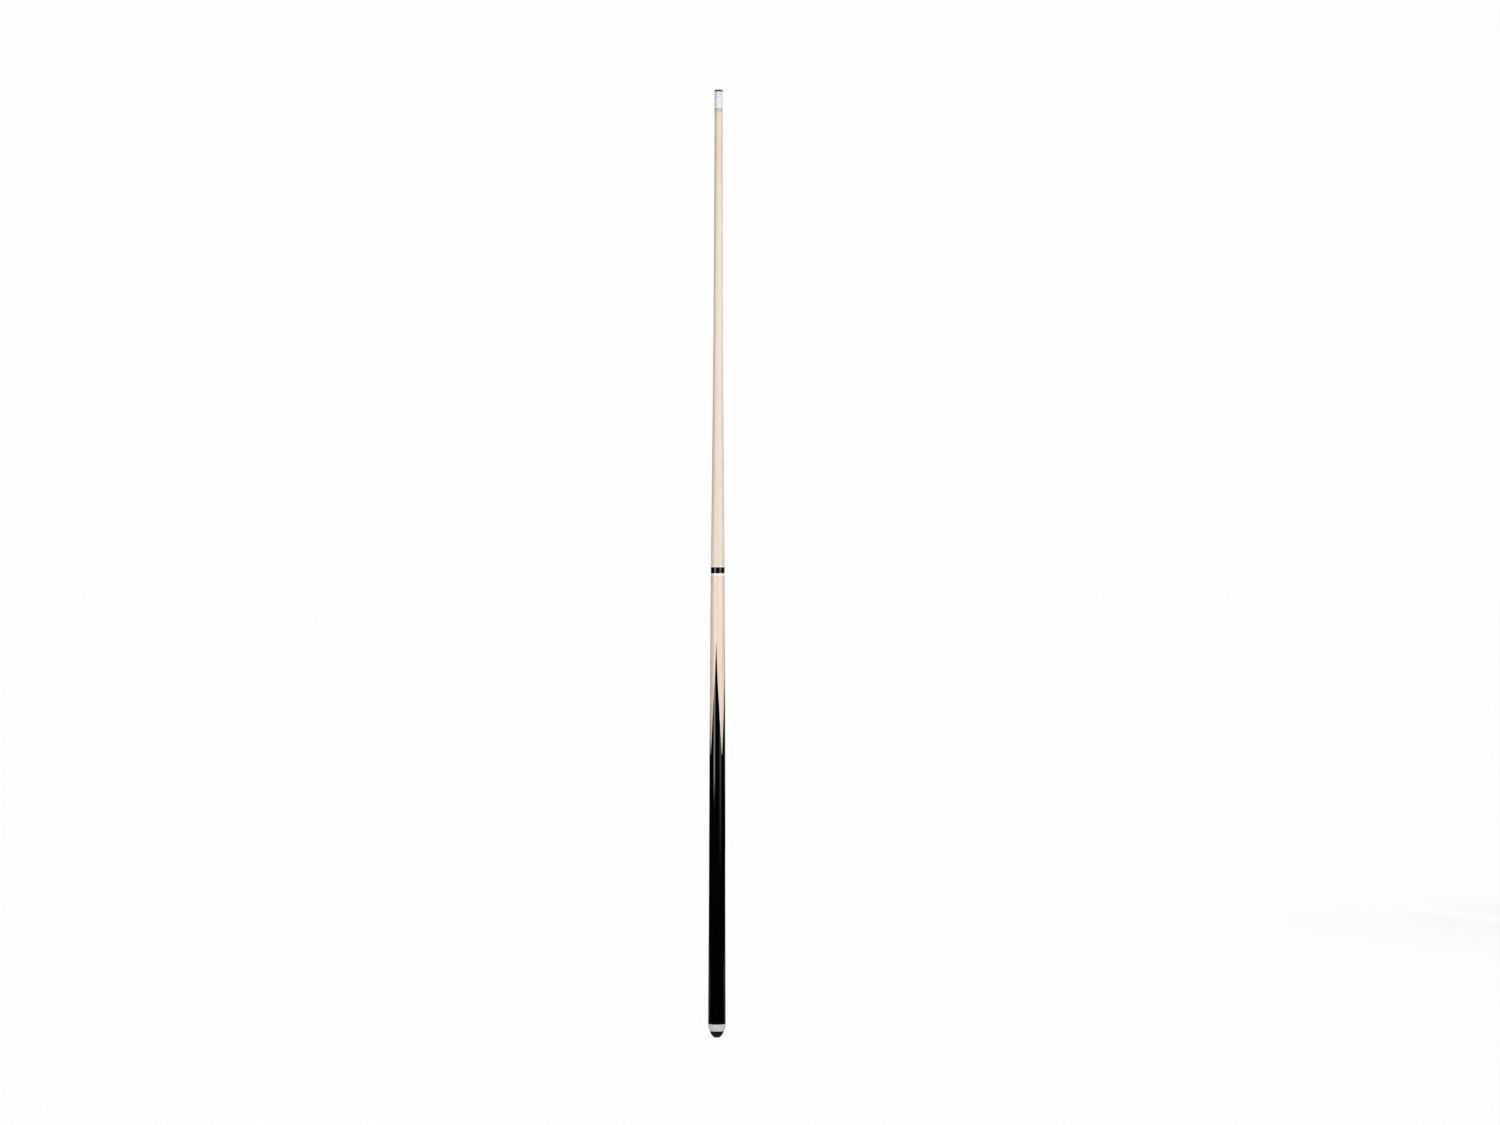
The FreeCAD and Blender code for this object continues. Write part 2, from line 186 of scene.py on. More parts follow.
# a pattern's scale is in repeats per metre, so the grain is fine across and long upwards
maple = {
    "ringGap": 0.0017,          # between growth rings
    "pith": (0.071, -0.052),    # where the tree's heart lies from the cue's axis
    "runout": (0.010, -0.006),  # how fast the grain leaves the axis
    "wander": {"scale": (11, 11, 1.9), "detail": 2},    # the rings' slow drift
    "waver": {"scale": (260, 260, 14), "detail": 2},    # and their small unevenness
    "ringDrift": 2.6,           # in rings
    "ringWaver": 0.35,
    "lateWood": ((0.3, 0.9), (0.93, 1.0)),              # where in a ring it darkens and clears
    "lateLine": ((0.84, 0.93), (0.94, 1.0)),
    "lateTone": (0.80, 0.68, 0.54),
    "lateDepth": 0.17,
    "lineTone": (0.66, 0.50, 0.36),
    "lineDepth": 0.24,
    "lineFade": {"scale": (70, 70, 7), "detail": 2},    # lines come and go
    "lineFadeCut": (0.25, 0.7),
    "fibre": {"scale": (1500, 1500, 16), "detail": 5, "rough": 0.6},
    "fibreCut": (0.3, 0.75),
    "fibreTone": (0.82, 0.71, 0.60),
    "fibreDepth": 0.34,
    "hair": {"scale": (7500, 7500, 150), "rough": 0.55},
    "hairTone": (0.84, 0.76, 0.67),
    "hairDepth": 0.26,
    "pore": {"scale": (5600, 5600, 520), "detail": 1.5},
    "poreCut": (0.64, 0.72),
    "poreTone": (0.62, 0.46, 0.33),
    "poreDepth": 0.4,
    "sugar": {"scale": (760, 760, 42), "detail": 2.5, "rough": 0.6},    # brown flecks
    "sugarWidth": 0.09,
    "sugarTone": (0.70, 0.55, 0.40),
    "sugarDepth": 0.42,
    "cloud": {"scale": (52, 52, 3.4)},                  # pale and deep stretches
    "cloudCut": (0.32, 0.68),
    "figure": {"scale": (260, 260, 46)},                # the soft pale figure of turned maple
    "figureCut": (0.5, 0.75),
    "figureTone": (0.93, 0.85, 0.76),
    "figureDepth": 0.25,
    "mineralTone": (0.66, 0.64, 0.62),
    "mineralCut": (0.2, 0.6),
    "duller": {"fibre": 0.12, "pore": 0.08},            # what takes the shine off
    "height": {"hair": 0.5, "pore": 0.8, "fibre": 0.5},
    "relief": 0.000025,
    "reliefStrength": 0.35,
}

handling = {
    # hands and chalk darken the last stretch below the ferrule, most of all at its edge
    "smudge": {"scale": (90, 90, 22)},
    "smudgeCut": (0.15, 0.7),
    "stainLength": 0.2,
    "stainTone": (0.92, 0.82, 0.715),
    "stainDepth": 0.7,
    "seamLength": 0.012,
    "seamTone": (0.66, 0.64, 0.54),
    "seamDepth": 0.65,
}


def ringPattern(finish, seed):
    # growth rings are cylinders round the tree's heart, which the taper cuts into long arches
    wander = finish.pattern(shift=(seed, 0, seed), **maple["wander"])
    waver = finish.pattern(shift=(0, seed, 0), **maple["waver"])
    across = finish.x - maple["pith"][0] - finish.z * maple["runout"][0]
    along = finish.y - maple["pith"][1] - finish.z * maple["runout"][1]
    reach = (across * across + along * along) ** 0.5
    phase = reach / maple["ringGap"] + wander * maple["ringDrift"] + waver * maple["ringWaver"]
    return finish.add("Math", {"operation": "FRACT"}, {0: phase})


def mineralMarks(finish, look, hair, colour):
    for degrees, height, width, length, depth in look["marks"]:
        angle = math.radians(degrees)
        middle = (look["markRadius"] * math.sin(angle), -look["markRadius"] * math.cos(angle), height)
        mark = finish.spot(middle, (width, width, length)) * finish.step(hair, *maple["mineralCut"])
        colour = finish.mix(mark * depth, colour, maple["mineralTone"], "MULTIPLY")
    return colour


def handledWood(finish, top, colour):
    smudge = finish.step(finish.pattern(**handling["smudge"]), *handling["smudgeCut"])
    stain = finish.step(finish.z, top - handling["stainLength"], top) * smudge
    colour = finish.mix(stain * handling["stainDepth"], colour, handling["stainTone"], "MULTIPLY")
    seam = finish.step(finish.z, top - handling["seamLength"], top)
    return finish.mix(seam * handling["seamDepth"], colour, handling["seamTone"], "MULTIPLY")


def mapleFinish(name, look):
    finish = Finish(name, {"IOR": look["ior"]})
    seed = look["seed"]
    ring = ringPattern(finish, seed)
    # the late wood darkens slowly towards a thin line, and the early wood starts again softly
    late, line = (
        finish.step(ring, *rise) * (1.0 - finish.step(ring, *fall))
        for rise, fall in (maple["lateWood"], maple["lateLine"])
    )
    fade = finish.pattern(shift=(seed, 2, 3), **maple["lineFade"])
    line = line * finish.step(fade, *maple["lineFadeCut"])
    fibre = finish.pattern(shift=(0, 0, seed), **maple["fibre"])
    hair = finish.pattern(shift=(seed, 1, 0), **maple["hair"])
    pore = finish.step(finish.pattern(shift=(seed, 3, 1), **maple["pore"]), *maple["poreCut"])
    sugarField = finish.pattern(shift=(1, seed, 2), **maple["sugar"])
    sugar = finish.step(sugarField, look["sugar"], look["sugar"] + maple["sugarWidth"])
    cloud = finish.pattern(shift=(seed, 5, 0), **maple["cloud"])
    figure = finish.pattern(shift=(2, seed, 4), **maple["figure"])
    colour = finish.mix(finish.step(cloud, *maple["cloudCut"]), look["pale"], look["deep"])
    for mask, kind in (
        (late, "late"), (line, "line"), (finish.step(fibre, *maple["fibreCut"]), "fibre"),
        (hair, "hair"), (pore, "pore"), (sugar, "sugar"),
    ):
        colour = finish.mix(mask * maple[kind + "Depth"], colour, maple[kind + "Tone"], "MULTIPLY")
    paler = finish.step(figure, *maple["figureCut"]) * maple["figureDepth"]
    colour = mineralMarks(finish, look, hair, finish.mix(paler, colour, maple["figureTone"]))
    if look["handledTo"]:
        colour = handledWood(finish, look["handledTo"], colour)
    duller, height = maple["duller"], maple["height"]
    surface = hair * height["hair"] - pore * height["pore"] + fibre * height["fibre"]
    finish.feed(
        colour=colour,
        roughness=look["gloss"] + fibre * duller["fibre"] + pore * duller["pore"],
        normal=finish.bump(surface, maple["relief"], maple["reliefStrength"]),
    )
    return finish


blackWood = {
    "dark": (0.0009, 0.0009, 0.0011),
    "brown": (0.006, 0.0042, 0.0038),
    "fibre": {"scale": (1900, 1900, 20), "detail": 5, "rough": 0.6},
    "fibreCut": (0.45, 0.8),
    "figure": {"scale": (150, 150, 4.5), "shift": (0, 2, 1)},
    "figureCut": (0.35, 0.8),
    "brownDepth": 0.8,
    "pore": {"scale": (4200, 4200, 260), "detail": 1.5},
    "poreCut": (0.63, 0.71),
    "ripple": {"scale": (130, 130, 24), "shift": (3, 1, 0), "detail": 2},    # the lacquer's unevenness
    "rub": {"scale": (900, 900, 300), "turn": (0.4, 0.2, 0), "detail": 6, "rough": 0.7},
    "rubCut": (0.45, 0.8),
    "gripShare": 0.38,          # how far up the handle the hand holds it
    "gripSize": (0.1, 0.1, 0.2),
    "gloss": 0.025,
    "duller": {"fibre": 0.02, "grip": 0.1, "rub": 0.03},
    "height": {"ripple": 3.0, "fibre": 0.1, "pore": 0.5},
    "relief": 0.000012,
    "reliefStrength": 0.3,
}


def blackWoodFinish():
    finish = Finish("handleStain", {"IOR": 1.5})
    fibre = finish.pattern(**blackWood["fibre"])
    figure = finish.step(finish.pattern(**blackWood["figure"]), *blackWood["figureCut"])
    pore = finish.step(finish.pattern(**blackWood["pore"]), *blackWood["poreCut"])
    ripple = finish.pattern(**blackWood["ripple"])
    rub = finish.step(finish.pattern(**blackWood["rub"]), *blackWood["rubCut"])
    grip = finish.spot((0, 0, heightsOf("handle")[1] * blackWood["gripShare"]), blackWood["gripSize"])
    brown = finish.step(fibre, *blackWood["fibreCut"]) * figure * blackWood["brownDepth"]
    duller, height = blackWood["duller"], blackWood["height"]
    handled = rub * (grip * duller["grip"] + duller["rub"])
    surface = ripple * height["ripple"] + fibre * height["fibre"] - pore * height["pore"]
    finish.feed(
        colour=finish.mix(brown, blackWood["dark"], blackWood["brown"]),
        roughness=blackWood["gloss"] + fibre * duller["fibre"] + handled,
        normal=finish.bump(surface, blackWood["relief"], blackWood["reliefStrength"]),
    )
    return finish


plastic = {
    "cloud": {"scale": (170, 170, 130), "detail": 4},
    "cloudCut": (0.25, 0.8),
    "turningAcross": 35,        # the marks left by the lathe run right round
    "hairline": {"scale": (4600, 4600, 260), "turn": (0.45, 0.2, 0), "detail": 2},
    "hairlineCut": (0.67, 0.75),
    "scuff": {"scale": (700, 700, 1500), "shift": (4, 1, 2), "detail": 6, "rough": 0.7},
    "scuffCut": (0.52, 0.8),
    "scuffTone": (0.42, 0.42, 0.45),
    "scuffDepth": 0.5,
    "chalk": {"scale": (1100, 1100, 700), "detail": 5, "rough": 0.7},    # thins out below the tip
    "chalkCut": (0.42, 0.8),
    "chalkLength": 0.014,
    "chalkTone": (0.44, 0.56, 0.72),
    "chalkDepth": 0.3,
    "grooveTone": (0.30, 0.31, 0.35),    # the turned lines are darker
    "grooveDepth": 0.9,
    "glowRadius": (1.0, 1.0, 1.1),
    "glowScale": 0.0012,
    "duller": {"turning": 0.08, "scratch": 0.2},
    "turningHeight": 0.5,
    "relief": 0.000008,
    "reliefStrength": 0.4,
}


def plasticFinish(name, look):
    finish = Finish(name, {
        "IOR": look["ior"], "Subsurface Weight": look["glow"],
        "Subsurface Radius": plastic["glowRadius"], "Subsurface Scale": plastic["glowScale"],
    })
    cloud = finish.step(finish.pattern(**plastic["cloud"]), *plastic["cloudCut"])
    colour = finish.mix(cloud, look["tone"], look["shade"])
    around = plastic["turningAcross"]
    turning = finish.pattern((around, around, look["turning"]), rough=0.6)
    scratch = finish.step(finish.pattern(**plastic["hairline"]), *plastic["hairlineCut"])
    if "scuffed" in look:
        low, high = look["scuffed"]
        rub = finish.step(finish.pattern(**plastic["scuff"]), *plastic["scuffCut"])
        worn = rub * (1.0 - finish.step(finish.z, low, high)) * plastic["scuffDepth"]
        colour = finish.mix(worn, colour, plastic["scuffTone"], "MULTIPLY")
    if "chalkedTo" in look:
        top = look["chalkedTo"]
        dust = finish.step(finish.pattern(**plastic["chalk"]), *plastic["chalkCut"])
        veil = finish.step(finish.z, top - plastic["chalkLength"], top) * dust * plastic["chalkDepth"]
        colour = finish.mix(veil, colour, plastic["chalkTone"])
    if "grooved" in look:
        reach = (finish.x * finish.x + finish.y * finish.y) ** 0.5
        groove = (1.0 - finish.step(reach, *look["grooved"])) * plastic["grooveDepth"]
        colour = finish.mix(groove, colour, plastic["grooveTone"], "MULTIPLY")
    duller = plastic["duller"]
    surface = turning * plastic["turningHeight"] - scratch
    finish.feed(
        colour=colour,
        roughness=look["gloss"] + turning * duller["turning"] + scratch * duller["scratch"],
        normal=finish.bump(surface, plastic["relief"], plastic["reliefStrength"]),
    )
    return finish


leather = {
    "shader": {"Specular IOR Level": 0.35, "Sheen Weight": 0.1, "Sheen Roughness": 0.5},
    "rimBlend": (-0.00015, 0.00045),    # from the burnished side to the open crown
    "pores": 2300.0,
    "fibre": {"scale": (4600, 4600, 4600), "detail": 7, "rough": 0.72},
    "blot": {"scale": (520, 520, 520), "detail": 4, "rough": 0.6},
    "blotCut": (0.46, 0.72),
    "layers": {"scale": (90, 90, 3600), "detail": 4, "rough": 0.6},    # pressed layers, as faint rings
    "layersCut": (0.4, 0.62),
    "sideDark": (0.007, 0.007, 0.008),
    "sidePale": (0.036, 0.033, 0.034),
    "sideNap": (0.075, 0.070, 0.070),
    "sideNapCut": (0.5, 0.75),
    "sideNapDepth": 0.55,
    "crownDark": (0.014, 0.014, 0.016),
    "crownPale": (0.085, 0.084, 0.09),
    "crownCut": (0.3, 0.7),
    "chalkTone": (0.10, 0.13, 0.18),
    "chalkDepth": 0.5,
    "gloss": 0.36,              # of the burnished side
    "duller": {"crown": 0.42, "fibre": 0.1},
    "height": {"openPores": 0.7, "pores": 0.3, "fibre": 0.9, "layers": 0.5},
    "relief": 0.00016,
    "reliefStrength": 0.9,
}


def leatherFinish(sideTop):
    finish = Finish("tipLeather", leather["shader"])
    low, high = leather["rimBlend"]
    crown = finish.step(finish.z, sideTop + low, sideTop + high)
    pores = finish.add("TexVoronoi", sockets={"Vector": finish.place, "Scale": leather["pores"]})
    fibre = finish.pattern(**leather["fibre"])
    layers = finish.pattern(**leather["layers"])
    layered = finish.step(layers, *leather["layersCut"])
    side = finish.mix(layered, leather["sideDark"], leather["sidePale"])
    nap = finish.step(fibre, *leather["sideNapCut"]) * leather["sideNapDepth"]
    side = finish.mix(nap, side, leather["sideNap"])
    fibrous = finish.step(fibre, *leather["crownCut"])
    bare = finish.mix(fibrous, leather["crownDark"], leather["crownPale"])
    chalk = finish.step(finish.pattern(**leather["blot"]), *leather["blotCut"]) * leather["chalkDepth"]
    duller, height = leather["duller"], leather["height"]
    pitted = pores * (crown * height["openPores"] + height["pores"])
    surface = pitted + fibre * height["fibre"] + layers * height["layers"]
    finish.feed(
        colour=finish.mix(crown, side, finish.mix(chalk, bare, leather["chalkTone"])),
        roughness=leather["gloss"] + crown * duller["crown"] + fibre * duller["fibre"],
        normal=finish.bump(surface, leather["relief"], leather["reliefStrength"]),
    )
    return finish


rubber = {
    "grain": {"scale": (4800, 4800, 4800), "detail": 5, "rough": 0.65},
    "bloom": {"scale": (240, 240, 240), "detail": 5, "rough": 0.62},    # the dull cast of old rubber
    "bloomCut": (0.3, 0.75),
    "dark": (0.0012, 0.0012, 0.0014),
    "pale": (0.005, 0.005, 0.0054),
    "seamWay": (0.34, 0.94),            # across the mould line, which runs down both sides
    "seamWidth": 0.00019,
    "scuffHeight": 0.0016,              # grey where it meets the floor
    "scuffCut": (0.3, 0.62),
    "scuffTone": (0.06, 0.057, 0.053),
    "scuffDepth": 0.8,
    "gloss": 0.27,
    "duller": {"grain": 0.12, "bloom": 0.1, "scuffed": 0.3},
    "height": {"grain": 0.5, "seam": 1.6},
    "relief": 0.00006,
    "reliefStrength": 0.4,
}


def rubberFinish(foot):
    finish = Finish("bumperRubber", {"Specular IOR Level": 0.07})
    grain = finish.pattern(**rubber["grain"])
    bloom = finish.pattern(**rubber["bloom"])
    across = finish.size(finish.x * rubber["seamWay"][0] + finish.y * rubber["seamWay"][1])
    seam = 1.0 - finish.step(across, 0.0, rubber["seamWidth"])
    scuffed = 1.0 - finish.step(finish.z, foot, foot + rubber["scuffHeight"])
    scuffed = scuffed * finish.step(bloom, *rubber["scuffCut"])
    colour = finish.mix(finish.step(bloom, *rubber["bloomCut"]), rubber["dark"], rubber["pale"])
    duller, height = rubber["duller"], rubber["height"]
    dull = grain * duller["grain"] + bloom * duller["bloom"] + scuffed * duller["scuffed"]
    surface = grain * height["grain"] + seam * height["seam"]
    finish.feed(
        colour=finish.mix(scuffed * rubber["scuffDepth"], colour, rubber["scuffTone"]),
        roughness=rubber["gloss"] + dull,
        normal=finish.bump(surface, rubber["relief"], rubber["reliefStrength"]),
    )
    return finish


metal = {
    "tarnish": {"scale": (420, 420, 300), "detail": 5, "rough": 0.62},
    "tarnishCut": (0.35, 0.75),
    "turningAcross": 50,
    "speck": {"scale": (2600, 2600, 2600)},
    "speckCut": (0.62, 0.72),
    "speckDepth": 0.4,
    "rootDarkDepth": 0.7,          # the roots, near the axis, are darker
    "duller": {"tarnish": 0.14, "turning": 0.08, "rootDark": 0.15},
    "relief": 0.00001,
    "reliefStrength": 0.45,
}


def metalFinish(name, look):
    finish = Finish(name, {"Metallic": 1.0})
    tarnish = finish.pattern(**metal["tarnish"])
    around = metal["turningAcross"]
    turning = finish.pattern((around, around, look["turning"]), rough=0.6)
    speck = finish.step(finish.pattern(**metal["speck"]), *metal["speckCut"]) * metal["speckDepth"]
    reach = (finish.x * finish.x + finish.y * finish.y) ** 0.5
    # darker near the axis, in the thread roots
    rootDark = (1.0 - finish.step(reach, *look["roots"])) * metal["rootDarkDepth"]
    colour = finish.mix(finish.step(tarnish, *metal["tarnishCut"]), look["bright"], look["dull"])
    colour = finish.mix(speck, colour, look["dull"])
    duller = metal["duller"]
    dull = tarnish * duller["tarnish"] + turning * duller["turning"] + rootDark * duller["rootDark"]
    finish.feed(
        colour=finish.mix(rootDark, colour, look["rootDark"], "MULTIPLY"),
        roughness=look["gloss"] + dull,
        normal=finish.bump(turning, metal["relief"], metal["reliefStrength"]),
    )
    return finish


ferruleRadius = radiusOf("ferrule")
ferruleLook = {
    "tone": (0.82, 0.815, 0.885), "shade": (0.75, 0.745, 0.81),
    "ior": 1.49, "glow": 0.1, "gloss": 0.14, "turning": 9000, "chalkedTo": heightsOf("ferrule")[1],
    "grooved": (ferruleRadius - 0.00016, ferruleRadius - 0.00003),
}
ringLook = {
    "tone": (0.94, 0.91, 0.90), "shade": (0.88, 0.85, 0.835),
    "ior": 1.49, "glow": 0.1, "gloss": 0.12, "turning": 12000,
}
capLook = {
    "tone": (0.60, 0.60, 0.635), "shade": (0.50, 0.50, 0.525),
    "ior": 1.49, "glow": 0.1, "gloss": 0.16, "turning": 7000, "scuffed": heightsOf("butt_cap"),
}
collarLook = {
    "tone": (0.0022, 0.0016, 0.002), "shade": (0.009, 0.006, 0.008),
    "ior": 1.62, "glow": 0.0, "gloss": 0.09, "turning": 12000,
}
steelLook = {
    "bright": (0.66, 0.66, 0.67), "dull": (0.42, 0.42, 0.43), "rootDark": (0.42, 0.40, 0.37),
    "gloss": 0.18, "turning": 8000, "roots": (0.0031, 0.0039),
}
brassLook = {
    "bright": (0.86, 0.65, 0.29), "dull": (0.58, 0.41, 0.17), "rootDark": (0.5, 0.42, 0.34),
    "gloss": 0.20, "turning": 7000, "roots": (0.0032, 0.0042),
}
boltLook = {
    "bright": (0.46, 0.46, 0.47), "dull": (0.2, 0.19, 0.19), "rootDark": (0.4, 0.38, 0.36),
    "gloss": 0.34, "turning": 3000, "roots": (0.002, 0.005),
}
shaftLook = {
    "pale": (0.90, 0.815, 0.725), "deep": (0.85, 0.755, 0.655),
    "ior": 1.45, "gloss": 0.20, "seed": 0.0, "sugar": 0.66, "handledTo": heightsOf("ferrule")[0],
    "markRadius": 0.0078,
    # the mineral flecks: degrees round from the front, height, width, length, strength
    "marks": (
        (-7, 0.993, 0.0009, 0.0045, 0.75), (4, 0.982, 0.0007, 0.0035, 0.6),
        (-38, 0.945, 0.0013, 0.0055, 0.6), (6, 0.941, 0.0008, 0.0022, 0.8),
        (52, 0.980, 0.0010, 0.0040, 0.5), (160, 1.080, 0.0010, 0.0060, 0.6),
    ),
}
forearmLook = {
    "pale": (0.89, 0.775, 0.66), "deep": (0.83, 0.705, 0.58),
    "ior": 1.5, "gloss": 0.07, "seed": 7.3, "sugar": 0.64, "handledTo": None,
    "markRadius": 0.0112, "marks": ((150, 0.652, 0.0012, 0.007, 0.6),),
}
shaftMaple = mapleFinish("shaftMaple", shaftLook)
forearmMaple = mapleFinish("forearmMaple", forearmLook)
handleStain = blackWoodFinish()
ferruleWhite = plasticFinish("ferruleWhite", ferruleLook)
ringWhite = plasticFinish("ringWhite", ringLook)
capWhite = plasticFinish("capWhite", capLook)
collarBlack = plasticFinish("collarBlack", collarLook)
pinSteel = metalFinish("pinSteel", steelLook)
insertBrass = metalFinish("insertBrass", brassLook)
boltSteel = metalFinish("boltSteel", boltLook)
print("finishes made")


turning = {
    "steps": 128,
    "edgeSegments": 5,
    "sharpest": math.radians(32),    # edges that bend more than this stay crisp
    "mergeWithin": 1e-7,
    "thinnest": 1e-8,
}


def mergeDoubles(mesh):
    bmesh.ops.remove_doubles(mesh, verts=mesh.verts, dist=turning["mergeWithin"])
    bmesh.ops.dissolve_degenerate(mesh, edges=mesh.edges, dist=turning["thinnest"])


def spinOutline(outline, rounding=None, closed=False):
    # turned round Z from (radius, height) corners; rounding says how much each corner is rounded,
    # and a closed outline joins its last corner to its first, for a tube or a ring
    mesh = bmesh.new()
    corners = [mesh.verts.new((radius, 0, height)) for radius, height in outline]
    pairs = list(zip(corners, corners[1:]))
    if closed:
        pairs.append((corners[-1], corners[0]))
    for pair in pairs:
        mesh.edges.new(pair)
    for index, size in (rounding or {}).items():
        bmesh.ops.bevel(
            mesh, geom=[corners[index]], offset=size, offset_type="OFFSET", affect="VERTICES",
            segments=turning["edgeSegments"], profile=0.5, material=-1, clamp_overlap=True,
        )
    bmesh.ops.spin(
        mesh, geom=mesh.verts[:] + mesh.edges[:], axis=(0, 0, 1), cent=(0, 0, 0),
        angle=math.tau, steps=turning["steps"], use_merge=True,
    )
    mergeDoubles(mesh)
    bmesh.ops.recalc_face_normals(mesh, faces=mesh.faces)
    return mesh


def meshData(name, mesh):
    data = bpy.data.meshes.new(name)
    mesh.to_mesh(data)
    mesh.free()
    return data


def addPiece(name, data):
    piece = bpy.data.objects.new(name, data)
    scene.collection.objects.link(piece)
    return piece


def lathe(name, outline, rounding=None, closed=False):
    mesh = spinOutline(outline, rounding, closed)
    for face in mesh.faces:
        face.smooth = True
    for edge in mesh.edges:
        edge.smooth = edge.calc_face_angle(0.0) < turning["sharpest"]
    piece = addPiece(name, meshData(name, mesh))
    weights = piece.modifiers.new("evenNormals", "WEIGHTED_NORMAL")
    weights.keep_sharp = True
    return piece


def finishPiece(piece, finish, body, node):
    piece.data.materials.clear()
    piece.data.materials.append(finish.material)
    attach(piece, body)
    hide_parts(node)


def arc(start, end, bulge, count):
    # points between start and end on a shallow curve that bulges to the right of the way it goes
    start, end = Vector(start), Vector(end)
    chord = end - start
    side = Vector((chord.y, -chord.x)).normalized()
    points = []
    for number in range(1, count):
        share = number / count
        points.append(tuple(start + chord * share + side * bulge * 4 * share * (1 - share)))
    return points


tipShape = {
    "side": 0.0028,      # height of the burnished side, below the dome
    "edge": 0.00045,
    "sideSteps": 6, "crownSteps": 14,
}


def makeTip():
    low, high = heightsOf("tip")
    edge = radiusOf("ferrule")
    shoulder = low + tipShape["side"]
    outline = [(0, low), (edge, low)]
    outline += arc((edge, low), (edge, shoulder), radiusOf("tip") - edge, tipShape["sideSteps"])
    outline.append((edge, shoulder))
    rounding = {outline.index((edge, shoulder)): tipShape["edge"]}
    # the dome is part of a sphere that meets the side at its shoulder
    rise = high - shoulder
    sphere = (edge ** 2 + rise ** 2) / (2 * rise)
    widest = math.asin(edge / sphere)
    for number in range(1, tipShape["crownSteps"]):
        angle = widest * (1 - number / tipShape["crownSteps"])
        outline.append((sphere * math.sin(angle), high - sphere + sphere * math.cos(angle)))
    outline.append((0, high))
    piece = lathe("leatherTip", outline, rounding)
    finishPiece(piece, leatherFinish(shoulder), "shaft", "tip")


ferruleShape = {
    "bore": 0.004, "boreDepth": 0.0219, "edge": 0.00012,
    "lineDrops": (0.0084, 0.0043), "lineDepth": 0.0002, "lineReach": 0.0003,    # two turned lines
}


def makeFerrule():
    low, high = heightsOf("ferrule")
    radius = radiusOf("ferrule")
    depth, reach = ferruleShape["lineDepth"], ferruleShape["lineReach"]
    outline = [(ferruleShape["bore"], low), (radius, low)]
    for drop in ferruleShape["lineDrops"]:
        line = high - drop
        outline += [(radius, line - reach), (radius - depth, line), (radius, line + reach)]
    outline += [(radius, high), (0, high), (0, low + ferruleShape["boreDepth"])]
    outline.append((ferruleShape["bore"], low + ferruleShape["boreDepth"]))
    topCorner = outline.index((radius, high))
    piece = lathe("ferruleTube", outline, {topCorner: ferruleShape["edge"]}, closed=True)
    finishPiece(piece, ferruleWhite, "shaft", "ferrule")


shaftShape = {
    # heights above the joint, then radii, from the collar's shoulder up
    "taper": ((0.127, 0.00928), (0.249, 0.00808), (0.410, 0.00695), (0.587, 0.00632)),
    "collarBore": 0.008,
    "insertPocket": 0.0055, "pocketDepth": 0.0201,
    "well": 0.0044, "wellDepth": 0.025,
    "tenon": 0.004, "tenonTop": 0.0214,
}


def makeShaft():
    joint = heightsOf("shaft")[0]
    ferruleBottom = heightsOf("ferrule")[0]
    shoulder = heightsOf("shaft_trim_ring")[1]
    pocketTop = joint + shaftShape["pocketDepth"]
    outline = [
        (0, joint + shaftShape["wellDepth"]), (shaftShape["well"], joint + shaftShape["wellDepth"]),
        (shaftShape["well"], pocketTop), (shaftShape["insertPocket"], pocketTop),
        (shaftShape["insertPocket"], joint), (shaftShape["collarBore"], joint),
        (shaftShape["collarBore"], shoulder), (radiusOf("shaft"), shoulder),
    ]
    outline += [(radius, joint + height) for height, radius in shaftShape["taper"]]
    tenonTop = ferruleBottom + shaftShape["tenonTop"]
    outline += [(radiusOf("ferrule"), ferruleBottom), (shaftShape["tenon"], ferruleBottom)]
    outline += [(shaftShape["tenon"], tenonTop), (0, tenonTop)]
    piece = lathe("mapleShaft", outline)
    finishPiece(piece, shaftMaple, "shaft", "shaft")


collarShape = {"bore": 0.008, "jointEdge": 0.00028, "seamEdge": 0.00009}

collars = (
    # piece, node, body, finish, slot, the end that meets the other half
    ("shaftRing", "shaft_trim_ring", "joint_lift", ringWhite, "white_plastic", None),
    ("shaftCollar", "shaft_collar", "shaft", collarBlack, "black_plastic", "low"),
    ("buttCollar", "butt_collar", "butt", collarBlack, "black_plastic", "high"),
    ("buttRing", "butt_trim_ring", "butt", ringWhite, "white_plastic", None),
)


def makeCollars():
    for name, node, body, finish, slot, jointEnd in collars:
        low, high = heightsOf(node)
        radius = radiusOf(node)
        bore = collarShape["bore"]
        outline = [(bore, low), (radius, low), (radius, high), (bore, high)]
        rounding = {
            corner: collarShape["jointEdge" if end == jointEnd else "seamEdge"]
            for corner, end in ((1, "low"), (2, "high"))
        }
        finishPiece(lathe(name, outline, rounding, closed=True), finish, body, node)


capShape = {
    "bore": 0.00645, "tenon": 0.009, "lip": 0.002,
    "bottomRadius": 0.0109, "bottomEdge": 0.00025,
    "sideRadius": 0.01305, "sideHeight": 0.0062,
    "bulge": 0.00027, "bulgeSteps": 8,
}


def makeButtCap():
    low, high = heightsOf("butt_cap")
    bottom = (capShape["bottomRadius"], low)
    side = (capShape["sideRadius"], low + capShape["sideHeight"])
    lip = low + capShape["lip"]
    outline = [(capShape["bore"], low), bottom]
    outline += arc(bottom, side, capShape["bulge"], capShape["bulgeSteps"])
    outline += [side, (radiusOf("butt_cap"), high), (capShape["tenon"], high), (capShape["tenon"], lip)]
    outline.append((capShape["bore"], lip))
    piece = lathe("buttCap", outline, {outline.index(bottom): capShape["bottomEdge"]}, closed=True)
    finishPiece(piece, capWhite, "butt", "butt_cap")


